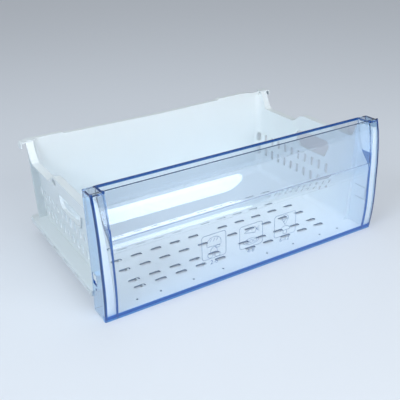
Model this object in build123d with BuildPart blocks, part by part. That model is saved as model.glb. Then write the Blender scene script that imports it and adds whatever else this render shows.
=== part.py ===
from build123d import *
import math
import os

os.makedirs("parts", exist_ok=True)

# Millimetres. X runs along the front, Y from the front to the back, Z up.
# The origin is under the middle of the drawer, on the ground plane.

# Overall sizes
PANEL_WIDTH = 450.0
PANEL_HEIGHT = 178.0
DEPTH = 290.0
FRONT_Y = -DEPTH / 2
BACK_Y = DEPTH / 2

# Walls of the tub
WALL = 2.3
FLOOR_UNDER = 4.3
FLOOR_TOP = FLOOR_UNDER + 2.4
BODY_TOP = PANEL_HEIGHT - 13
SIDE_FOOT = PANEL_WIDTH / 2 - 20.5
DRAFT = 2.9
SLOPE = math.tan(math.radians(DRAFT))
SIDE_HEAD = SIDE_FOOT + (BODY_TOP - FLOOR_UNDER) * SLOPE
BACK_HEAD = BACK_Y - 5.4
BACK_FOOT = BACK_HEAD - (BODY_TOP - FLOOR_UNDER) * SLOPE
CORNER = 12.0
COVE = 9.0

# Cuts that run past the part reach this far
OVERHANG = FRONT_Y - 45
BEYOND = PANEL_WIDTH

# The tub widens by this much inside the front panel
SHOULDER = 6.0
SHOULDER_BACK = FRONT_Y + 41

# Rim, ears and runners of the tub
RIM_OUT = PANEL_WIDTH / 2 - 5
RIM_WIDTH = 12.0
EAR_REACH = 8.0
EAR_BEND = 4.5
EAR_Z = BODY_TOP - 7.5
BUMP_Z = EAR_Z - 14.5
DIP_Z = BUMP_Z - 14.5
HOOD_Z = BUMP_Z - 19
RUNNER_TOP = 30.7
RUNNER_OUT = PANEL_WIDTH / 2 + 2
RUNNER_LIP = 22.5
RUNNER_FRONT = FRONT_Y + 39.5

# Openings in the tub
FLOOR_SLOT = (17.5, 6.5)
SLOT_PITCH = 32.3
SLOT_FIRST_X = 26.5
SLOT_COUNT = int((SIDE_FOOT - 40) // SLOT_PITCH)
SLOT_ROWS = (49.5, 67.7, 98.3, 126.6, 163.1, 191.2)
HOLD_TOP = HOOD_Z - 5.5
HOLD_LOW = HOLD_TOP - 27.5
HOLD_FRAME = 3.0
HOLD_FRAME_OUT = SIDE_FOOT + (HOLD_LOW - FLOOR_UNDER) * SLOPE + 2.7
VENT_WIDTH = 6.4
VENT_PITCH = 17.8
VENT_COUNT = 11
VENT_BACK = BACK_Y - 16.8
VENT_LOW = RUNNER_TOP + 10.8
VENT_HIGH = HOLD_LOW - 9
VENT_HEIGHT = (VENT_HIGH - VENT_LOW - 9) / 2
VENT_ROWS = (VENT_LOW + VENT_HEIGHT / 2, VENT_HIGH - VENT_HEIGHT / 2)

# Walls of the front panel
PANEL_WALL = 2.8
PANEL_SIDE = 2.6
PANEL_BASE = 2.4
LOWER_BOW = 6.2
UPPER_BOW = 4.6
TOP_LEAN = 8.8
BOW_LOW = 60.0
BOW_HIGH = 100.0
CREASE_Z = PANEL_HEIGHT - 17.5
SIDE_FAR_TOP = FRONT_Y + 34.0
SIDE_FAR_FOOT = FRONT_Y + 40.6
BLOCK_TOP = PANEL_HEIGHT - 2
BLOCK_DROP = 10.4
TUB_GAP = 5.0

# Grip pocket along the top of the panel
POCKET_HALF = PANEL_WIDTH / 2 - 18
POCKET_WALL = 2.5
POCKET_LEAN = 12.0
POCKET_BEND = 45.0
POCKET_FOLD_Y = FRONT_Y + 29.5
POCKET_FOLD_Z = PANEL_HEIGHT - 28
POCKET_RADIUS = 60.0
POCKET_RUN_OUT = 35.0


def face_curve(shift):
    """Upright outline of the bowed front, moved back by shift."""
    y = FRONT_Y + shift
    low = TangentArc((y, BOW_LOW), (y + LOWER_BOW, 0), tangent=(0, -1))
    mid = Line((y, BOW_LOW), (y, BOW_HIGH))
    high = TangentArc((y, BOW_HIGH), (y + UPPER_BOW, CREASE_Z), tangent=(0, 1))
    top = Line((y + UPPER_BOW, CREASE_Z), (y + TOP_LEAN, PANEL_HEIGHT))
    return low, mid, high, top


def heading(angle):
    """Direction down the pocket wall, angle degrees off the upright."""
    turn = math.radians(angle)
    return (-math.sin(turn), -math.cos(turn))


def pocket_points(inwards, last):
    """Top, fold, bend and end of the pocket wall, moved inwards into the pocket."""
    lean, bend, end = (math.radians(angle) for angle in (POCKET_LEAN, POCKET_BEND, last))
    fold_y = POCKET_FOLD_Y - inwards * math.cos(lean)
    fold_z = POCKET_FOLD_Z + inwards * math.sin(lean)
    top = (fold_y + (BLOCK_TOP - fold_z) * math.tan(lean), BLOCK_TOP)
    upper = POCKET_RADIUS - inwards
    lower = POCKET_RUN_OUT + inwards
    bend_y = fold_y - upper * (math.cos(lean) - math.cos(bend))
    bend_z = fold_z - upper * (math.sin(bend) - math.sin(lean))
    end_y = bend_y - lower * (math.cos(end) - math.cos(bend))
    end_z = bend_z - lower * (math.sin(bend) - math.sin(end))
    return top, (fold_y, fold_z), (bend_y, bend_z), (end_y, end_z)


def inset(points, distance):
    """Points of an open outline moved to its right hand side by distance."""
    moved = []
    for i, (y, z) in enumerate(points):
        before = points[max(i - 1, 0)]
        after = points[min(i + 1, len(points) - 1)]
        dy = after[0] - before[0]
        dz = after[1] - before[1]
        size = math.hypot(dy, dz)
        moved.append((y + distance * dz / size, z - distance * dy / size))
    return moved


# Upper outline of the side walls, from the front to the back
SIDE_TOP = [
    (OVERHANG, BODY_TOP),
    (FRONT_Y + 37.6, BODY_TOP),
    (FRONT_Y + 39.6, BODY_TOP - 3.5),
    (FRONT_Y + 45.6, BUMP_Z + 2),
    (FRONT_Y + 49.0, BUMP_Z),
    (BACK_Y - 131.5, BUMP_Z),
    (BACK_Y - 124.0, BUMP_Z - 1.6),
    (BACK_Y - 117.5, BUMP_Z - 5.5),
    (BACK_Y - 109.0, DIP_Z + 2),
    (BACK_Y - 103.0, DIP_Z),
    (BACK_Y - 31.0, DIP_Z),
    (BACK_Y - 26.5, DIP_Z + 3),
    (BACK_Y - 19.5, EAR_Z - 12.9),
    (BACK_Y - 14.0, EAR_Z - 1.5),
    (BACK_Y - 11.0, EAR_Z),
    (BACK_Y, EAR_Z),
]

# Upper outline of the back wall, from left to right
BACK_TOP = [
    (-RIM_OUT, EAR_Z),
    (-RIM_OUT + 8, EAR_Z + 1),
    (-RIM_OUT + 60, EAR_Z + 1),
    (-RIM_OUT + 63, EAR_Z - 1.2),
    (0.0, EAR_Z - 3),
    (RIM_OUT - 99, EAR_Z - 1.2),
    (RIM_OUT - 96, EAR_Z + 1),
    (RIM_OUT - 39, EAR_Z + 1),
    (RIM_OUT - 24, EAR_Z - 2.5),
    (RIM_OUT - 14, EAR_Z - 6.5),
    (RIM_OUT - 8, EAR_Z - 1.0),
    (RIM_OUT - 4, EAR_Z),
    (RIM_OUT, EAR_Z),
]

# Outline of a hand-hold, from its lower front corner
HOLD = [
    (BACK_Y - 187.5, HOLD_LOW),
    (BACK_Y - 126.0, HOLD_LOW),
    (BACK_Y - 119.0, HOLD_LOW + 6),
    (BACK_Y - 115.0, HOLD_TOP - 11.5),
    (BACK_Y - 117.0, HOLD_TOP - 5.5),
    (BACK_Y - 124.0, HOLD_TOP - 1.5),
    (BACK_Y - 135.0, HOLD_TOP),
    (BACK_Y - 189.0, HOLD_TOP),
    (BACK_Y - 195.0, HOLD_TOP - 3.5),
    (BACK_Y - 196.0, HOLD_TOP - 9.5),
    (BACK_Y - 190.0, HOLD_LOW + 2),
]

# Hollow of the tub, taken out of the moulding further down
with BuildPart() as hollow:
    for z in (FLOOR_TOP, BODY_TOP + 5):
        rise = (z - FLOOR_UNDER) * SLOPE
        back = BACK_FOOT - WALL + rise
        half = SIDE_FOOT - WALL + rise
        with BuildSketch(Plane.XY.offset(z)):
            with Locations((0, (back + OVERHANG) / 2)):
                RectangleRounded(2 * half, back - OVERHANG, CORNER)
    loft(ruled=True)
    fillet(hollow.faces().sort_by(Axis.Z)[0].edges(), COVE)

# Hollow of the wider shoulder
with BuildPart() as shoulder_hollow:
    for z in (FLOOR_TOP, BODY_TOP + 5):
        rise = (z - FLOOR_UNDER) * SLOPE
        half = SIDE_FOOT + SHOULDER - WALL + rise
        with BuildSketch(Plane.XY.offset(z)):
            with Locations((0, (SHOULDER_BACK - WALL + OVERHANG) / 2)):
                Rectangle(2 * half, SHOULDER_BACK - WALL - OVERHANG)
    loft(ruled=True)

# Tub: one white moulding, open at the front and the top
with BuildPart() as drawer_tub:
    # outside of the tub
    for z, half, back in ((FLOOR_UNDER, SIDE_FOOT, BACK_FOOT), (BODY_TOP, SIDE_HEAD, BACK_HEAD)):
        with BuildSketch(Plane.XY.offset(z)):
            with Locations((0, (back + OVERHANG) / 2)):
                RectangleRounded(2 * half, back - OVERHANG, CORNER + WALL)
    loft(ruled=True)
    fillet(drawer_tub.faces().sort_by(Axis.Z)[0].edges(), COVE + WALL)
    # wider shoulder inside the front panel
    for z, half in ((FLOOR_UNDER, SIDE_FOOT + SHOULDER), (BODY_TOP, SIDE_HEAD + SHOULDER)):
        with BuildSketch(Plane.XY.offset(z)):
            with Locations((0, (SHOULDER_BACK + OVERHANG) / 2)):
                Rectangle(2 * half, SHOULDER_BACK - OVERHANG)
    loft(ruled=True)
    # flange that stands behind the face of the front panel
    with BuildSketch(Plane.YZ):
        with BuildLine():
            face_curve(TUB_GAP + WALL)
            Line((FRONT_Y + TUB_GAP + WALL + TOP_LEAN, PANEL_HEIGHT), (OVERHANG, PANEL_HEIGHT))
            Line((OVERHANG, PANEL_HEIGHT), (OVERHANG, 0))
            Line((OVERHANG, 0), (FRONT_Y + TUB_GAP + WALL + LOWER_BOW, 0))
        make_face()
    extrude(amount=PANEL_WIDTH / 2 - PANEL_SIDE - 0.5, both=True)
    with Locations((0, 0, FLOOR_UNDER)):
        Box(
            2 * BEYOND,
            2 * BEYOND,
            PANEL_HEIGHT,
            align=(Align.CENTER, Align.CENTER, Align.MAX),
            mode=Mode.SUBTRACT,
        )
    with Locations((0, 0, BODY_TOP)):
        Box(
            2 * BEYOND,
            2 * BEYOND,
            PANEL_HEIGHT,
            align=(Align.CENTER, Align.CENTER, Align.MIN),
            mode=Mode.SUBTRACT,
        )
    # upper edge of the side walls
    with BuildSketch(Plane.YZ):
        with BuildLine():
            Polyline(*SIDE_TOP[:-2], (BACK_Y - 14.0, BEYOND), (OVERHANG, BEYOND), close=True)
        make_face()
    extrude(amount=BEYOND, both=True, mode=Mode.SUBTRACT)
    # upper edge of the back wall
    with BuildSketch(Plane.XZ.offset(-BACK_Y - 10)):
        with BuildLine():
            Polyline(
                (-BEYOND, EAR_Z), *BACK_TOP, (BEYOND, EAR_Z), (BEYOND, BEYOND), (-BEYOND, BEYOND), close=True
            )
        make_face()
    extrude(amount=26, mode=Mode.SUBTRACT)
    # rim turned outwards along the side walls
    RIM_UNDER = inset(SIDE_TOP, WALL)
    for side in (-1, 1):
        with BuildSketch(Plane.YZ.offset(side * RIM_OUT)):
            with BuildLine():
                Polyline(*SIDE_TOP, *reversed(RIM_UNDER), close=True)
            make_face()
        extrude(amount=-side * RIM_WIDTH)
    # hood over the hand-hold, hanging from the rim
    hood = [(SHOULDER_BACK, HOOD_Z), (BACK_Y - 118.0, HOOD_Z), (BACK_Y - 110.0, HOOD_Z + 3.5)]
    for side in (-1, 1):
        with BuildSketch(Plane.YZ.offset(side * RIM_OUT)):
            with BuildLine():
                Polyline(*hood, *reversed(inset(SIDE_TOP[3:9], 1.0)), (SHOULDER_BACK, BUMP_Z + 7), close=True)
            make_face()
        extrude(amount=-side * WALL)
        # window at the back end of the hood
        with BuildSketch(Plane.YZ.offset(side * (RIM_OUT + 1))):
            with Locations((BACK_Y - 129.0, BUMP_Z - 7.4)):
                SlotOverall(14.0, 8.0)
        extrude(amount=-side * (WALL + 2), mode=Mode.SUBTRACT)
    # flat frame round each hand-hold
    for side in (-1, 1):
        with BuildSketch(Plane.YZ.offset(side * HOLD_FRAME_OUT)):
            with BuildLine():
                Polyline(*HOLD, close=True)
            make_face()
            offset(amount=HOLD_FRAME)
        extrude(amount=-side * (WALL + 3))
    # rim turned outwards along the back wall
    BACK_UNDER = [(x, z - WALL) for x, z in BACK_TOP]
    with BuildSketch(Plane.XZ.offset(-BACK_Y)):
        with BuildLine():
            Polyline(*BACK_TOP, *reversed(BACK_UNDER), close=True)
        make_face()
    extrude(amount=RIM_WIDTH)
    # hooked ears at the two back corners
    for side in (-1, 1):
        tip = side * (RIM_OUT + EAR_REACH)
        root = side * (RIM_OUT - RIM_WIDTH)
        bend = tip - side * EAR_BEND
        ear_end = EAR_Z - EAR_BEND - 5
        with BuildSketch(Plane.XZ.offset(-BACK_Y)):
            with BuildLine():
                Line((root, EAR_Z), (bend, EAR_Z))
                TangentArc((bend, EAR_Z), (tip, EAR_Z - EAR_BEND), tangent=(side, 0))
                Line((tip, EAR_Z - EAR_BEND), (tip, ear_end))
                Line((tip, ear_end), (tip - side * WALL, ear_end))
                Line((tip - side * WALL, ear_end), (tip - side * WALL, EAR_Z - EAR_BEND))
                TangentArc(
                    (tip - side * WALL, EAR_Z - EAR_BEND), (bend, EAR_Z - WALL), tangent=(0, 1)
                )
                Line((bend, EAR_Z - WALL), (root, EAR_Z - WALL))
                Line((root, EAR_Z - WALL), (root, EAR_Z))
            make_face()
        extrude(amount=13.5)
    # upright flange at each back corner, in line with the back wall
    for side in (-1, 1):
        for z in (RUNNER_TOP - 1.5, EAR_Z - 1.5):
            y = BACK_FOOT + (z - FLOOR_UNDER) * SLOPE
            with BuildSketch(Plane.XY.offset(z)):
                with Locations((side * (RIM_OUT - 20), y - WALL / 2)):
                    Rectangle(35, WALL)
        loft(ruled=True)
    # runners along the foot of the side walls
    for side in (-1, 1):
        outer = side * RUNNER_OUT
        with BuildSketch(Plane.XY.offset(RUNNER_TOP)):
            with BuildLine():
                Polyline(
                    (side * (SIDE_FOOT - 16), RUNNER_FRONT),
                    (outer, RUNNER_FRONT),
                    (outer, BACK_Y - 3),
                    (outer - side * 3, BACK_Y),
                    (side * (RIM_OUT - 5), BACK_Y),
                    (side * (RIM_OUT - RIM_WIDTH), BACK_FOOT + 1.0),
                    (side * (SIDE_FOOT - 16), BACK_FOOT + 1.0),
                    close=True,
                )
            make_face()
        extrude(amount=-WALL)
        with Locations((outer, (RUNNER_FRONT + BACK_Y - 3) / 2, RUNNER_LIP)):
            Box(
                WALL,
                BACK_Y - 3 - RUNNER_FRONT,
                RUNNER_TOP - RUNNER_LIP,
                align=(Align.MAX if side > 0 else Align.MIN, Align.CENTER, Align.MIN),
            )
    # hollow of the tub and of its shoulder
    add(hollow.part, mode=Mode.SUBTRACT)
    add(shoulder_hollow.part, mode=Mode.SUBTRACT)
    # drain slots in the floor
    slot_xs = [SLOT_FIRST_X + SLOT_PITCH * i for i in range(SLOT_COUNT)]
    with BuildSketch(Plane.XY.offset(FLOOR_TOP + 2)):
        for x in (38.0, 86.0, 137.0, SIDE_FOOT - 32.5):
            with Locations((x, FRONT_Y + 24), (-x, FRONT_Y + 24)):
                Circle(1.6)
        for row in SLOT_ROWS:
            for x in slot_xs:
                with Locations((x, FRONT_Y + row), (-x, FRONT_Y + row)):
                    SlotOverall(*FLOOR_SLOT)
    extrude(amount=-8, mode=Mode.SUBTRACT)
    # vents and hand-holds in the side walls
    with BuildSketch(Plane.YZ):
        for i in range(VENT_COUNT):
            for z in VENT_ROWS:
                with Locations((VENT_BACK - VENT_PITCH * i, z)):
                    SlotOverall(VENT_HEIGHT, VENT_WIDTH, rotation=90)
        with BuildLine():
            Polyline(*HOLD, close=True)
        make_face()
    extrude(amount=RIM_OUT - 4, both=True, mode=Mode.SUBTRACT)
    # windows in the lips of the runners
    for side in (-1, 1):
        spots = [(side * RUNNER_OUT, RUNNER_FRONT + 10 + 42 * i, RUNNER_TOP - 4.1) for i in range(5)]
        with Locations(*spots):
            Box(8, 14, 3.4, mode=Mode.SUBTRACT)
    # front end cut to the bow of the panel
    with BuildSketch(Plane.YZ):
        with BuildLine():
            face_curve(TUB_GAP)
            Line((FRONT_Y + TUB_GAP + TOP_LEAN, PANEL_HEIGHT), (OVERHANG - 20, PANEL_HEIGHT))
            Line((OVERHANG - 20, PANEL_HEIGHT), (OVERHANG - 20, 0))
            Line((OVERHANG - 20, 0), (FRONT_Y + TUB_GAP + LOWER_BOW, 0))
        make_face()
    extrude(amount=BEYOND, both=True, mode=Mode.SUBTRACT)
    # low ribs under the floor, stepped over the base of the panel
    for x in (-150.0, -50.0, 50.0, 150.0):
        with Locations((x, SHOULDER_BACK + 1.0, 0)):
            Box(3, BACK_Y - 45 - SHOULDER_BACK, FLOOR_UNDER + 1, align=(Align.CENTER, Align.MIN, Align.MIN))
        with Locations((x, FRONT_Y + 16, PANEL_BASE)):
            Box(
                3,
                SHOULDER_BACK + 2 - FRONT_Y - 16,
                FLOOR_UNDER + 1 - PANEL_BASE,
                align=(Align.CENTER, Align.MIN, Align.MIN),
            )
    # snap catches that hold the front panel
    for side in (-1, 1):
        wall_x = SIDE_FOOT + SHOULDER + (57 - FLOOR_UNDER) * SLOPE - 1.0
        with Locations((side * wall_x, FRONT_Y + 21.2, 52.0)):
            Box(
                PANEL_WIDTH / 2 - 0.4 - wall_x,
                10.6,
                9.8,
                align=(Align.MIN if side > 0 else Align.MAX, Align.MIN, Align.MIN),
            )
        with Locations((side * wall_x, FRONT_Y + 9.6, 60.0)):
            Box(12, 1.2, 20.2, mode=Mode.SUBTRACT)
        with Locations((side * wall_x, FRONT_Y + 21.2, 50.5), (side * wall_x, FRONT_Y + 21.2, 69.5)):
            Box(12, 24.0, 1.2, mode=Mode.SUBTRACT)
drawer_tub.part.label = "drawer_tub"
export_step(drawer_tub.part, "parts/drawer_tub.step")

# Panel: one clear moulding with the grip pocket along its top
with BuildPart() as front_panel:
    # pocket, closed at the back, at the bottom and at both ends
    top, fold, bend, end = pocket_points(0, 3.0)
    with BuildSketch(Plane.YZ):
        with BuildLine():
            Line(top, fold)
            TangentArc(fold, bend, tangent=heading(POCKET_LEAN))
            TangentArc(bend, end, tangent=heading(POCKET_BEND))
            Polyline(
                end,
                (FRONT_Y + PANEL_WALL / 2, end[1]),
                (FRONT_Y + PANEL_WALL - 0.5, PANEL_HEIGHT - 51),
                (FRONT_Y + UPPER_BOW + PANEL_WALL / 2, CREASE_Z),
                (FRONT_Y + TOP_LEAN + PANEL_WALL / 2 - 0.4, BLOCK_TOP),
                top,
            )
        make_face()
    extrude(amount=POCKET_HALF + PANEL_SIDE, both=True)
    top, fold, bend, end = pocket_points(POCKET_WALL, 30.0)
    with BuildSketch(Plane.YZ):
        with BuildLine():
            Line(top, fold)
            TangentArc(fold, bend, tangent=heading(POCKET_LEAN))
            TangentArc(bend, end, tangent=heading(POCKET_BEND))
            Polyline(end, (FRONT_Y, end[1]), (FRONT_Y, BLOCK_TOP + 20), (top[0], BLOCK_TOP + 20), top)
        make_face()
    extrude(amount=POCKET_HALF, both=True, mode=Mode.SUBTRACT)
    # bowed face
    with BuildSketch(Plane.YZ):
        with BuildLine():
            face_curve(0)
            face_curve(PANEL_WALL)
            Line(
                (FRONT_Y + TOP_LEAN, PANEL_HEIGHT),
                (FRONT_Y + TOP_LEAN + PANEL_WALL, PANEL_HEIGHT),
            )
            Line((FRONT_Y + LOWER_BOW, 0), (FRONT_Y + LOWER_BOW + PANEL_WALL, 0))
        make_face()
    extrude(amount=PANEL_WIDTH / 2, both=True)
    # two sides
    for side in (-1, 1):
        with BuildSketch(Plane.YZ.offset(side * PANEL_WIDTH / 2)):
            with BuildLine():
                face_curve(0)
                Polyline(
                    (FRONT_Y + TOP_LEAN, PANEL_HEIGHT),
                    (FRONT_Y + TOP_LEAN + PANEL_WALL, PANEL_HEIGHT),
                    (FRONT_Y + TOP_LEAN + PANEL_WALL, BLOCK_TOP),
                    (SIDE_FAR_TOP, BLOCK_TOP),
                    (SIDE_FAR_TOP + 0.3, 86),
                    (SIDE_FAR_TOP + 2.2, 57),
                    (SIDE_FAR_FOOT - 2.8, 35),
                    (SIDE_FAR_FOOT, 0),
                    (FRONT_Y + LOWER_BOW, 0),
                )
            make_face()
        extrude(amount=-side * PANEL_SIDE)
    # base that reaches under the front edge of the tub
    with BuildSketch(Plane.YZ):
        with BuildLine():
            Polyline(
                (FRONT_Y + LOWER_BOW + 1.5, 0),
                (SIDE_FAR_FOOT, 0),
                (SIDE_FAR_FOOT, PANEL_BASE),
                (FRONT_Y + LOWER_BOW + 1.5, PANEL_BASE),
                close=True,
            )
        make_face()
    extrude(amount=PANEL_WIDTH / 2 - 1, both=True)
    # closed blocks at both ends of the pocket
    block_x = (POCKET_HALF + PANEL_WIDTH / 2) / 2
    block_width = PANEL_WIDTH / 2 - POCKET_HALF - 2.0
    block_front = FRONT_Y + TOP_LEAN + PANEL_WALL - 1
    for side in (-1, 1):
        with Locations((side * block_x, block_front, BLOCK_TOP)):
            Box(
                block_width,
                SIDE_FAR_TOP - block_front,
                PANEL_SIDE,
                align=(Align.CENTER, Align.MIN, Align.MAX),
            )
        with Locations((side * block_x, SIDE_FAR_TOP, BLOCK_TOP)):
            Box(
                block_width,
                PANEL_SIDE,
                BLOCK_DROP,
                align=(Align.CENTER, Align.MAX, Align.MAX),
            )
    # upright ribs behind the face
    for side in (-1, 1):
        with BuildSketch(Plane.YZ.offset(side * (POCKET_HALF + 1.8))):
            with BuildLine():
                face_curve(PANEL_WALL - 1)
                face_curve(PANEL_WALL + 1.7)
                Line(
                    (FRONT_Y + TOP_LEAN + PANEL_WALL - 1, PANEL_HEIGHT),
                    (FRONT_Y + TOP_LEAN + PANEL_WALL + 1.7, PANEL_HEIGHT),
                )
                Line(
                    (FRONT_Y + LOWER_BOW + PANEL_WALL - 1, 0),
                    (FRONT_Y + LOWER_BOW + PANEL_WALL + 1.7, 0),
                )
            make_face()
        extrude(amount=-side * 1.6)
    # windows for the snap catches, with a small round hole below each
    for side in (-1, 1):
        with Locations((side * PANEL_WIDTH / 2, FRONT_Y + 26.5, 54.2)):
            Box(12, 12, 16.4, mode=Mode.SUBTRACT)
        with Locations((side * PANEL_WIDTH / 2, FRONT_Y + 25.6, 40.0)):
            Cylinder(1.5, 12, rotation=(0, 90, 0), mode=Mode.SUBTRACT)
    # rounded upright corners
    corners = [
        edge
        for edge in front_panel.edges()
        if abs(abs(edge.center().X) - PANEL_WIDTH / 2) < 0.01
        and edge.center().Y < FRONT_Y + TOP_LEAN + 0.5
        and edge.length > 10
    ]
    fillet(corners, 2.2)
front_panel.part.label = "front_panel"
export_step(front_panel.part, "parts/front_panel.step")
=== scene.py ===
import math

import bmesh
import bpy
from mathutils import Matrix, Vector


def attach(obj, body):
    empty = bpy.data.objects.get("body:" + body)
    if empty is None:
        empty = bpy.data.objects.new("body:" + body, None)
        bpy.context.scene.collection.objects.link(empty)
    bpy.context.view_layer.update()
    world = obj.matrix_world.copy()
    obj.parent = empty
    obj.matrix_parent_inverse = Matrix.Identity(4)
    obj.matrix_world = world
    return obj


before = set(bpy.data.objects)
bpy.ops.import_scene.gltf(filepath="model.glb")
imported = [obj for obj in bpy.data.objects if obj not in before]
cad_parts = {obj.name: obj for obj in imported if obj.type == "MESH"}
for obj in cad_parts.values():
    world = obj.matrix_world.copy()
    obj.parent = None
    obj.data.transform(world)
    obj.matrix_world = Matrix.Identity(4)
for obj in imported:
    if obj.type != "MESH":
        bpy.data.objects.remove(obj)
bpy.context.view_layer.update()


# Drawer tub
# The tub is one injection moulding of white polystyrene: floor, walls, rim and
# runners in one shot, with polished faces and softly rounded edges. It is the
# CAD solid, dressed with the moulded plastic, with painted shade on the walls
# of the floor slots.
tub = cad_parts["drawer_tub"]
FLOOR_UNDER, FLOOR_TOP = 0.0043, 0.0066
SLOTS_ACROSS, SLOTS_ALONG = 0.185, 0.126


def new_finish(name):
    """An empty node material."""
    finish = bpy.data.materials.new(name)
    finish.use_nodes = True
    finish.node_tree.nodes.clear()
    return finish, finish.node_tree.nodes, finish.node_tree.links


def moulded_skin():
    """Flow marks, fine grain and handling scratches of a moulded plastic skin."""
    group = bpy.data.node_groups.new("moulded_skin", "ShaderNodeTree")
    face = group.interface
    face.new_socket("Colour", in_out="INPUT", socket_type="NodeSocketColor")
    face.new_socket("Shade", in_out="INPUT", socket_type="NodeSocketColor")
    face.new_socket("Mottle", in_out="INPUT", socket_type="NodeSocketFloat")
    face.new_socket("Gloss low", in_out="INPUT", socket_type="NodeSocketFloat")
    face.new_socket("Gloss high", in_out="INPUT", socket_type="NodeSocketFloat")
    face.new_socket("Scratches", in_out="INPUT", socket_type="NodeSocketFloat")
    face.new_socket("Colour", in_out="OUTPUT", socket_type="NodeSocketColor")
    face.new_socket("Roughness", in_out="OUTPUT", socket_type="NodeSocketFloat")
    face.new_socket("Height", in_out="OUTPUT", socket_type="NodeSocketFloat")
    nodes, links = group.nodes, group.links
    given = nodes.new("NodeGroupInput")
    result = nodes.new("NodeGroupOutput")
    place = nodes.new("ShaderNodeTexCoord")
    flow = nodes.new("ShaderNodeTexNoise")
    flow.inputs["Scale"].default_value = 7.0
    flow.inputs["Detail"].default_value = 1.5
    links.new(place.outputs["Object"], flow.inputs["Vector"])
    fine = nodes.new("ShaderNodeTexNoise")
    fine.inputs["Scale"].default_value = 700.0
    fine.inputs["Detail"].default_value = 2.0
    links.new(place.outputs["Object"], fine.inputs["Vector"])
    stretch = nodes.new("ShaderNodeMapping")
    stretch.inputs["Rotation"].default_value = (0.1, 0.15, 0.5)
    stretch.inputs["Scale"].default_value = (900.0, 30.0, 900.0)
    links.new(place.outputs["Object"], stretch.inputs["Vector"])
    scratch = nodes.new("ShaderNodeTexNoise")
    scratch.inputs["Scale"].default_value = 1.0
    scratch.inputs["Detail"].default_value = 3.0
    links.new(stretch.outputs["Vector"], scratch.inputs["Vector"])
    lines = nodes.new("ShaderNodeMapRange")
    lines.inputs["From Min"].default_value = 0.66
    lines.inputs["From Max"].default_value = 0.78
    links.new(scratch.outputs["Fac"], lines.inputs["Value"])
    amount = nodes.new("ShaderNodeMath")
    amount.operation = "MULTIPLY"
    links.new(flow.outputs["Fac"], amount.inputs[0])
    links.new(given.outputs["Mottle"], amount.inputs[1])
    tint = nodes.new("ShaderNodeMix")
    tint.data_type = "RGBA"
    links.new(amount.outputs["Value"], tint.inputs["Factor"])
    links.new(given.outputs["Colour"], tint.inputs["A"])
    links.new(given.outputs["Shade"], tint.inputs["B"])
    links.new(tint.outputs["Result"], result.inputs["Colour"])
    gloss = nodes.new("ShaderNodeMapRange")
    gloss.interpolation_type = "SMOOTHSTEP"
    gloss.inputs["From Min"].default_value = 0.3
    gloss.inputs["From Max"].default_value = 0.7
    links.new(flow.outputs["Fac"], gloss.inputs["Value"])
    links.new(given.outputs["Gloss low"], gloss.inputs["To Min"])
    links.new(given.outputs["Gloss high"], gloss.inputs["To Max"])
    worn = nodes.new("ShaderNodeMath")
    worn.operation = "MULTIPLY_ADD"
    links.new(lines.outputs["Result"], worn.inputs[0])
    links.new(given.outputs["Scratches"], worn.inputs[1])
    links.new(gloss.outputs["Result"], worn.inputs[2])
    links.new(worn.outputs["Value"], result.inputs["Roughness"])
    links.new(fine.outputs["Fac"], result.inputs["Height"])
    return group


skin = moulded_skin()


class Mask:
    """A node group of masks worked out from where a surface is and which way it faces."""

    def __init__(self, name, *outputs):
        self.group = bpy.data.node_groups.new(name, "ShaderNodeTree")
        for output in outputs:
            self.group.interface.new_socket(output, in_out="OUTPUT", socket_type="NodeSocketFloat")
        self.result = self.group.nodes.new("NodeGroupOutput")
        place = self.group.nodes.new("ShaderNodeTexCoord")
        self.spot, self.aim = (self.group.nodes.new("ShaderNodeSeparateXYZ") for _ in range(2))
        self.group.links.new(place.outputs["Object"], self.spot.inputs["Vector"])
        self.group.links.new(place.outputs["Normal"], self.aim.inputs["Vector"])

    def maths(self, operation, *values):
        step = self.group.nodes.new("ShaderNodeMath")
        step.operation = operation
        for socket, value in zip(step.inputs, values):
            if isinstance(value, (int, float)):
                socket.default_value = value
            else:
                self.group.links.new(value, socket)
        return step.outputs["Value"]

    def size(self, value):
        return self.maths("ABSOLUTE", value)

    def over(self, value, limit):
        return self.maths("GREATER_THAN", value, limit)

    def under(self, value, limit):
        return self.maths("LESS_THAN", value, limit)

    def both(self, first, second, *others):
        product = self.maths("MULTIPLY", first, second)
        return self.both(product, *others) if others else product

    def either(self, first, second, *others):
        larger = self.maths("MAXIMUM", first, second)
        return self.either(larger, *others) if others else larger

    def give(self, output, value):
        self.group.links.new(value, self.result.inputs[output])


def mask_node(nodes, mask):
    """The mask group as a node of a material."""
    node = nodes.new("ShaderNodeGroup")
    node.node_tree = mask.group
    return node


def blend(nodes, links, factor, first, colour):
    """Colour output that goes from first to colour with the mask factor."""
    mix = nodes.new("ShaderNodeMix")
    mix.data_type = "RGBA"
    mix.inputs["B"].default_value = (*colour, 1.0)
    links.new(factor, mix.inputs["Factor"])
    if isinstance(first, tuple):
        mix.inputs["A"].default_value = (*first, 1.0)
    else:
        links.new(first, mix.inputs["A"])
    return mix.outputs["Result"]


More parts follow.
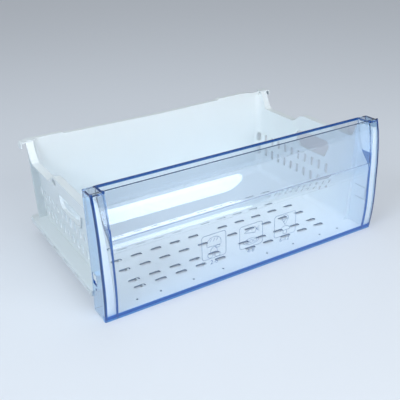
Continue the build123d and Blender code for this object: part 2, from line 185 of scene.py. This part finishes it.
def plastic(name, colour, shade, mottle, gloss, scratches, grain, edge):
    """Moulded plastic with its skin and soft edges; returns the material, its shader and its skin."""
    finish, nodes, links = new_finish(name)
    out = nodes.new("ShaderNodeOutputMaterial")
    shader = nodes.new("ShaderNodeBsdfPrincipled")
    detail = nodes.new("ShaderNodeGroup")
    detail.node_tree = skin
    detail.inputs["Colour"].default_value = (*colour, 1.0)
    detail.inputs["Shade"].default_value = (*shade, 1.0)
    detail.inputs["Mottle"].default_value = mottle
    detail.inputs["Gloss low"].default_value = gloss[0]
    detail.inputs["Gloss high"].default_value = gloss[1]
    detail.inputs["Scratches"].default_value = scratches
    round_edge = nodes.new("ShaderNodeBevel")
    round_edge.samples = 6
    round_edge.inputs["Radius"].default_value = edge
    relief = nodes.new("ShaderNodeBump")
    relief.inputs["Strength"].default_value = grain
    relief.inputs["Distance"].default_value = 0.0001
    links.new(round_edge.outputs["Normal"], relief.inputs["Normal"])
    links.new(detail.outputs["Colour"], shader.inputs["Base Color"])
    links.new(detail.outputs["Roughness"], shader.inputs["Roughness"])
    links.new(detail.outputs["Height"], relief.inputs["Height"])
    links.new(relief.outputs["Normal"], shader.inputs["Normal"])
    links.new(shader.outputs["BSDF"], out.inputs["Surface"])
    return finish, shader, detail


white_plastic, white_shader, white_skin = plastic(
    "white_moulded_plastic", (0.74, 0.788, 0.80), (0.73, 0.78, 0.797), 0.5, (0.285, 0.32), 0.10, 0.12, 0.0008
)
white_shader.inputs["IOR"].default_value = 1.5
white_shader.inputs["Subsurface Weight"].default_value = 0.12
white_shader.inputs["Subsurface Radius"].default_value = (0.9, 1.0, 1.1)
white_shader.inputs["Subsurface Scale"].default_value = 0.003

# Painted shade: the upright walls of the slots in the floor are painted dark blue grey, standing in for the
# shade down in the narrow slots.
slot_wall_shade = Mask("slot_wall_shade", "Cut")
across, along, height = (slot_wall_shade.spot.outputs[axis] for axis in "XYZ")
upright = slot_wall_shade.under(slot_wall_shade.size(slot_wall_shade.aim.outputs["Z"]), 0.5)
in_floor = slot_wall_shade.both(slot_wall_shade.over(height, FLOOR_UNDER), slot_wall_shade.under(height, FLOOR_TOP))
round_slots = slot_wall_shade.both(
    slot_wall_shade.under(slot_wall_shade.size(across), SLOTS_ACROSS),
    slot_wall_shade.under(slot_wall_shade.size(along), SLOTS_ALONG),
)
slot_wall_shade.give("Cut", slot_wall_shade.both(upright, in_floor, round_slots))
white_nodes, white_links = white_plastic.node_tree.nodes, white_plastic.node_tree.links
slot_shade = mask_node(white_nodes, slot_wall_shade).outputs["Cut"]
shaded = blend(white_nodes, white_links, slot_shade, white_skin.outputs["Colour"], (0.04, 0.11, 0.19))
white_links.new(shaded, white_shader.inputs["Base Color"])
for place in tub.material_slots:
    place.material = white_plastic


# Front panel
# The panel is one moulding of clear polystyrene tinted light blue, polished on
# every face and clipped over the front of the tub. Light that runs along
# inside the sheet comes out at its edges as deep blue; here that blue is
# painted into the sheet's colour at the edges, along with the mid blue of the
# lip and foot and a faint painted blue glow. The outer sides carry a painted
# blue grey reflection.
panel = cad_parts["front_panel"]
FACE_Y = -0.145
SHEET = 0.0026
END_WALL = 0.207
RIB_X, RIB_HALF, RIB_TOP = 0.208, 0.0011, 0.131
CORNER_X, SIDE_X = 0.2219, 0.2222
REAR_LIP_LOW, END_LIP_LOW, FRONT_LIP_LOW = 0.1733, 0.1752, 0.1776
FOOT_TOP, FOOT_DEPTH, POCKET_MIDDLE = 0.0085, 0.012, 0.020
NEAR = 0.0004


def sheet_painted_light():
    """Masks of the painted light on the clear sheet: painted deep blue edges, a painted reflection on the
    outer sides, and painted mid blue on the lip and foot.
    """
    mask = Mask("sheet_painted_light", "Edge", "Side", "Lip")
    both, over, under = mask.both, mask.over, mask.under
    across = mask.size(mask.spot.outputs["X"])
    along, height = mask.spot.outputs["Y"], mask.spot.outputs["Z"]
    inside = under(across, END_WALL)
    rear_lip = both(over(height, REAR_LIP_LOW), over(along, FACE_Y + POCKET_MIDDLE), inside)
    end_wall = both(over(across, END_WALL - NEAR), under(across, END_WALL + SHEET + NEAR))
    end_lip = both(over(height, END_LIP_LOW), end_wall)
    corner = both(over(across, CORNER_X), under(mask.aim.outputs["Y"], -0.12))
    rib = both(over(across, RIB_X - RIB_HALF), under(across, RIB_X + RIB_HALF), under(height, RIB_TOP))
    mask.give("Edge", mask.either(rear_lip, end_lip, corner, rib))
    mask.give("Side", both(over(across, SIDE_X), over(mask.size(mask.aim.outputs["X"]), 0.9)))
    front_lip = both(over(height, FRONT_LIP_LOW), over(mask.aim.outputs["Z"], 0.8), inside)
    foot = both(under(height, FOOT_TOP), under(along, FACE_Y + FOOT_DEPTH))
    mask.give("Lip", mask.either(front_lip, foot))
    return mask


clear_plastic, clear_shader, clear_skin = plastic(
    "clear_blue_plastic", (0.985, 0.99, 1.0), (0.97, 0.98, 0.995), 0.5, (0.0, 0.012), 0.05, 0.02, 0.0006
)
clear_shader.inputs["Transmission Weight"].default_value = 1.0
clear_shader.inputs["IOR"].default_value = 1.59
clear_shader.inputs["Coat Weight"].default_value = 0.7
clear_nodes, clear_links = clear_plastic.node_tree.nodes, clear_plastic.node_tree.links
painted_light_masks = mask_node(clear_nodes, sheet_painted_light())
colour, painted_glow = clear_skin.outputs["Colour"], (0.0, 0.0, 0.0)
# Painted light: the edges, lip and foot get a painted deep or mid blue and a faint painted glow, and the
# outer sides a painted blue grey reflection.
for part, tint, painted_glow_colour in (
    ("Side", (0.56, 0.78, 0.96), None),
    ("Lip", (0.006, 0.12, 0.42), (0.0, 0.03, 0.10)),
    ("Edge", (0.005, 0.04, 0.13), (0.0, 0.03, 0.15)),
):
    colour = blend(clear_nodes, clear_links, painted_light_masks.outputs[part], colour, tint)
    if painted_glow_colour:
        painted_glow = blend(clear_nodes, clear_links, painted_light_masks.outputs[part], painted_glow, painted_glow_colour)
clear_links.new(colour, clear_shader.inputs["Base Color"])
# Painted glow: emission at the edges, lip and foot, though the sheet is no lamp.
clear_links.new(painted_glow, clear_shader.inputs["Emission Color"])
clear_shader.inputs["Emission Strength"].default_value = 1.0
depths = clear_nodes.new("ShaderNodeVolumeAbsorption")
depths.inputs["Color"].default_value = (0.12, 0.46, 0.88, 1.0)
depths.inputs["Density"].default_value = 36.0
let_light_by = clear_nodes.new("ShaderNodeBsdfTransparent")
let_light_by.inputs["Color"].default_value = (0.91, 0.945, 0.97, 1.0)
ray = clear_nodes.new("ShaderNodeLightPath")
shade_mix = clear_nodes.new("ShaderNodeMixShader")
clear_out = clear_nodes["Material Output"]
clear_links.new(ray.outputs["Is Shadow Ray"], shade_mix.inputs["Fac"])
clear_links.new(clear_shader.outputs["BSDF"], shade_mix.inputs[1])
clear_links.new(let_light_by.outputs["BSDF"], shade_mix.inputs[2])
clear_links.new(shade_mix.outputs["Shader"], clear_out.inputs["Surface"])
clear_links.new(depths.outputs["Volume"], clear_out.inputs["Volume"])
for place in panel.material_slots:
    place.material = clear_plastic


# Printed storage guide
# Three framed pictograms of food with a range of months under each, screen
# printed in blue grey ink on the inner side of the panel. Each line is a thin
# ridge of ink that follows the bow of the face.
INK_GAP = 0.00035
INNER_FACE = FACE_Y + SHEET + INK_GAP
INK_WIDTH, INK_DEPTH = 0.0007, 0.00012
FIGURE_HEIGHT = 0.0095
BOW_LOW, BOW_REACH = 0.060, 0.0062
BOW_RADIUS = (BOW_LOW**2 + BOW_REACH**2) / (2 * BOW_REACH)
STEP = 0.003


def on_face(x, z, depth):
    """A point on the inner side of the bowed face, depth behind it."""
    below = max(BOW_LOW - z, 0.0)
    bow = BOW_RADIUS - math.sqrt(BOW_RADIUS**2 - below**2)
    return Vector((x, INNER_FACE + bow + depth, z))


def arc(x, z, wide, high, start=0, end=360, steps=14):
    """Points of an arc of an ellipse about (x, z), from start to end in degrees."""
    turns = [math.radians(start + (end - start) * i / steps) for i in range(steps + 1)]
    return [(x + wide * math.cos(t), z + high * math.sin(t)) for t in turns]


def rounded(x, z, wide, high, corner=0.004):
    """Closed outline of a rounded rectangle about (x, z)."""
    points = []
    for quarter, (a, b) in enumerate(((1, 1), (-1, 1), (-1, -1), (1, -1))):
        middle = (x + a * (wide / 2 - corner), z + b * (high / 2 - corner))
        points += arc(*middle, corner, corner, 90 * quarter, 90 * quarter + 90, 4)
    return points + points[:1]


def finer(outline):
    """The same outline with no run between two points longer than STEP."""
    points = [outline[0]]
    for (x0, z0), (x1, z1) in zip(outline, outline[1:]):
        count = max(1, math.ceil(math.hypot(x1 - x0, z1 - z0) / STEP))
        points += [(x0 + (x1 - x0) * i / count, z0 + (z1 - z0) * i / count) for i in range(1, count + 1)]
    return points


def ink_lines(outlines):
    """A curve as wide as the printed line along each outline of (x, z) points."""
    curve = bpy.data.curves.new("ink_lines", "CURVE")
    curve.dimensions = "3D"
    curve.bevel_depth = INK_WIDTH / 2
    curve.bevel_resolution = 0
    curve.use_fill_caps = True
    for outline in outlines:
        points = finer(outline)
        closed = math.dist(points[0], points[-1]) < INK_WIDTH / 10
        if closed:
            points.pop()
        line = curve.splines.new("POLY")
        line.points.add(len(points) - 1)
        for spot, (x, z) in zip(line.points, points):
            spot.co = (x, z, 0.0, 1.0)
        line.use_cyclic_u = closed
    return curve


def loaf(x, z):
    crust = arc(x, z - 0.003, 0.011, 0.0085, 0, 180) + [(x - 0.011, z - 0.008), (x + 0.011, z - 0.008)]
    cuts = [[(x + d, z - 0.001), (x + d + 0.003, z + 0.003)] for d in (-0.0065, -0.0015, 0.0035)]
    return [crust + crust[:1], *cuts]


def cherries(x, z):
    fruit = [arc(x - 0.006, z - 0.004, 0.0042, 0.0042), arc(x + 0.005, z - 0.005, 0.0042, 0.0042)]
    left_stalk = arc(x + 0.001, z, 0.007, 0.008, 180, 90, 5)
    right_stalk = arc(x + 0.001, z - 0.0008, 0.004, 0.0088, 0, 90, 5)
    leaf = arc(x + 0.0055, z + 0.007, 0.0042, 0.0018, steps=10)
    return [*fruit, left_stalk, right_stalk, leaf]


def carrot(x, z):
    root = arc(x + 0.005, z, 0.003, 0.0048, -90, 90, 6) + [(x - 0.012, z - 0.001)]
    leaves = [[(x + 0.008, z), (x + 0.0135, z + d)] for d in (-0.004, 0.0, 0.004)]
    rings = [[(x + d, z + 0.0035 * (d + 0.013) / 0.018), (x + d, z)] for d in (-0.005, 0.001)]
    return [root + root[:1], *leaves, *rings]


def pea_pod(x, z):
    peas = [arc(x + d, z, 0.0025, 0.0025, steps=10) for d in (-0.0065, 0.0, 0.0065)]
    return [arc(x, z, 0.0128, 0.0048, steps=20), *peas]


def ice_cream(x, z):
    scoop = arc(x, z + 0.001, 0.0058, 0.0065, 0, 180, 10)
    cone = [(x - 0.0048, z + 0.001), (x, z - 0.0085), (x + 0.0048, z + 0.001)]
    return [scoop + scoop[:1], cone, [(x - 0.0028, z - 0.003), (x + 0.0012, z + 0.001)]]


def mushroom(x, z):
    cap = arc(x, z, 0.0085, 0.0065, 0, 180, 10)
    stem = [(x - 0.0028, z), (x - 0.0033, z - 0.006), (x + 0.0033, z - 0.006), (x + 0.0028, z)]
    return [cap + cap[:1], stem]


def figures(text):
    """A curve with the months printed under a pictogram."""
    curve = bpy.data.curves.new("figures", "FONT")
    curve.body = text
    curve.size = FIGURE_HEIGHT
    curve.align_x = "CENTER"
    curve.extrude = INK_DEPTH / 2
    return curve


def lay_on_face(form, curve, x=0.0, z=0.0, flatten=1.0):
    """Adds a curve to the print as a mesh, moved by (x, z) and bent to the face."""
    setting = bpy.data.objects.new(curve.name, curve)
    mesh = bpy.data.meshes.new_from_object(setting)
    for vertex in mesh.vertices:
        across, along, depth = vertex.co
        vertex.co = on_face(x + across, z + along, INK_DEPTH / 2 + depth * flatten)
    form.from_mesh(mesh)
    bpy.data.objects.remove(setting)
    bpy.data.curves.remove(curve)
    bpy.data.meshes.remove(mesh)


def ink():
    """Blue grey screen ink, a little uneven."""
    finish, nodes, links = new_finish("guide_ink")
    out = nodes.new("ShaderNodeOutputMaterial")
    shader = nodes.new("ShaderNodeBsdfPrincipled")
    shader.inputs["Roughness"].default_value = 0.5
    place = nodes.new("ShaderNodeTexCoord")
    cover = nodes.new("ShaderNodeTexNoise")
    cover.inputs["Scale"].default_value = 900.0
    links.new(place.outputs["Object"], cover.inputs["Vector"])
    tone = nodes.new("ShaderNodeMix")
    tone.data_type = "RGBA"
    tone.inputs["A"].default_value = (0.15, 0.24, 0.40, 1.0)
    tone.inputs["B"].default_value = (0.09, 0.16, 0.30, 1.0)
    links.new(cover.outputs["Fac"], tone.inputs["Factor"])
    links.new(tone.outputs["Result"], shader.inputs["Base Color"])
    links.new(shader.outputs["BSDF"], out.inputs["Surface"])
    return finish


def storage_guide():
    """The whole print as one piece on the inner side of the face."""
    form = bmesh.new()
    frames = (
        (-0.0648, 0.0628, 0.0375, 0.0365, loaf, cherries, "2-6"),
        (-0.0050, 0.0595, 0.0380, 0.0350, carrot, pea_pod, "4-8"),
        (0.0531, 0.0588, 0.0372, 0.0345, ice_cream, mushroom, "6-12"),
    )
    outlines = []
    for x, z, wide, high, upper, lower, months in frames:
        outlines.append(rounded(x, z, wide, high))
        outlines += upper(x, z + high / 4 - 0.001) + lower(x, z - high / 4)
        lay_on_face(form, figures(months), x, z - high / 2 - FIGURE_HEIGHT)
    lay_on_face(form, ink_lines(outlines), flatten=INK_DEPTH / INK_WIDTH)
    bmesh.ops.recalc_face_normals(form, faces=form.faces)
    mesh = bpy.data.meshes.new("storage_guide")
    form.to_mesh(mesh)
    form.free()
    mesh.materials.append(ink())
    guide = bpy.data.objects.new("storage_guide", mesh)
    bpy.context.scene.collection.objects.link(guide)
    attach(guide, "root")


storage_guide()


# Studio
# Not part of the drawer: a pale floor, large soft lights in front and to the
# left, a weak one overhead, and the camera of the photograph.
def studio_floor():
    mesh = bpy.data.meshes.new("studio_floor")
    form = bmesh.new()
    bmesh.ops.create_grid(form, x_segments=1, y_segments=1, size=30.0)
    form.to_mesh(mesh)
    form.free()
    floor = bpy.data.objects.new("studio_floor", mesh)
    bpy.context.scene.collection.objects.link(floor)
    finish, nodes, links = new_finish("studio_floor_paint")
    out = nodes.new("ShaderNodeOutputMaterial")
    shader = nodes.new("ShaderNodeBsdfPrincipled")
    shader.inputs["Roughness"].default_value = 0.6
    seen = nodes.new("ShaderNodeLightPath")
    shown = seen.outputs["Is Camera Ray"]
    for kind in ("Is Glossy Ray", "Is Transmission Ray"):
        either = nodes.new("ShaderNodeMath")
        either.operation = "MAXIMUM"
        links.new(shown, either.inputs[0])
        links.new(seen.outputs[kind], either.inputs[1])
        shown = either.outputs["Value"]
    paint = blend(nodes, links, shown, (0.44, 0.52, 0.62), (0.50, 0.53, 0.57))
    links.new(paint, shader.inputs["Base Color"])
    shader.inputs["Emission Color"].default_value = (0.88, 0.93, 1.0, 1.0)
    backlit = nodes.new("ShaderNodeMath")
    backlit.operation = "MULTIPLY"
    backlit.inputs[1].default_value = 0.26
    links.new(shown, backlit.inputs[0])
    links.new(backlit.outputs["Value"], shader.inputs["Emission Strength"])
    links.new(shader.outputs["BSDF"], out.inputs["Surface"])
    mesh.materials.append(finish)


studio_floor()


def soft_light(name, place, aim, size, power, colour):
    lamp = bpy.data.lights.new(name, "AREA")
    lamp.shape = "RECTANGLE"
    lamp.size, lamp.size_y = size
    lamp.energy = power
    lamp.color = colour
    holder = bpy.data.objects.new(name, lamp)
    holder.location = place
    holder.rotation_euler = (Vector(aim) - Vector(place)).to_track_quat("-Z", "Y").to_euler()
    bpy.context.scene.collection.objects.link(holder)


soft_light("front_softbox", (0.25, -1.40, 0.72), (0.1, 0.0, 0.15), (1.1, 0.85), 14.2, (1.0, 1.0, 1.0))
soft_light("upper_softbox", (-0.1, 0.1, 1.6), (0.0, 0.0, 0.0), (1.6, 1.2), 6.5, (0.88, 0.945, 1.0))
soft_light("left_softbox", (-1.45, -0.45, 1.15), (-0.2, 0.0, 0.09), (0.9, 0.7), 18.0, (0.86, 0.94, 1.0))

world = bpy.data.worlds.new("studio_world")
world.use_nodes = True
bpy.context.scene.world = world
world.node_tree.nodes.clear()
sky_out = world.node_tree.nodes.new("ShaderNodeOutputWorld")
sky = world.node_tree.nodes.new("ShaderNodeBackground")
sky.inputs["Color"].default_value = (0.84, 0.91, 1.0, 1.0)
sky.inputs["Strength"].default_value = 0.26
world.node_tree.links.new(sky.outputs["Background"], sky_out.inputs["Surface"])

CAMERA_AZIMUTH, CAMERA_ELEVATION, CAMERA_ROLL = -30.09, 26.24, -1.99
CAMERA_PLACE = Vector((-0.4468, -0.7696, 0.4923))
FOCAL_PIXELS, FRAME_PIXELS, SENSOR = 641.0, 400.0, 36.0
a, e, r = (math.radians(v) for v in (CAMERA_AZIMUTH, CAMERA_ELEVATION, CAMERA_ROLL))
back = Vector((math.sin(a) * math.cos(e), -math.cos(a) * math.cos(e), math.sin(e)))
right = (-back).cross(Vector((0, 0, 1))).normalized()
up = right.cross(-back)
right_rolled = right * math.cos(r) + up * math.sin(r)
up_rolled = up * math.cos(r) - right * math.sin(r)
camera = bpy.data.cameras.new("camera")
camera.sensor_width = SENSOR
camera.lens = FOCAL_PIXELS / FRAME_PIXELS * SENSOR
holder = bpy.data.objects.new("camera", camera)
turn = Matrix((right_rolled, up_rolled, back)).transposed()
holder.matrix_world = Matrix.Translation(CAMERA_PLACE) @ turn.to_4x4()
bpy.context.scene.collection.objects.link(holder)
bpy.context.scene.camera = holder

bpy.context.scene.view_settings.view_transform = "Standard"
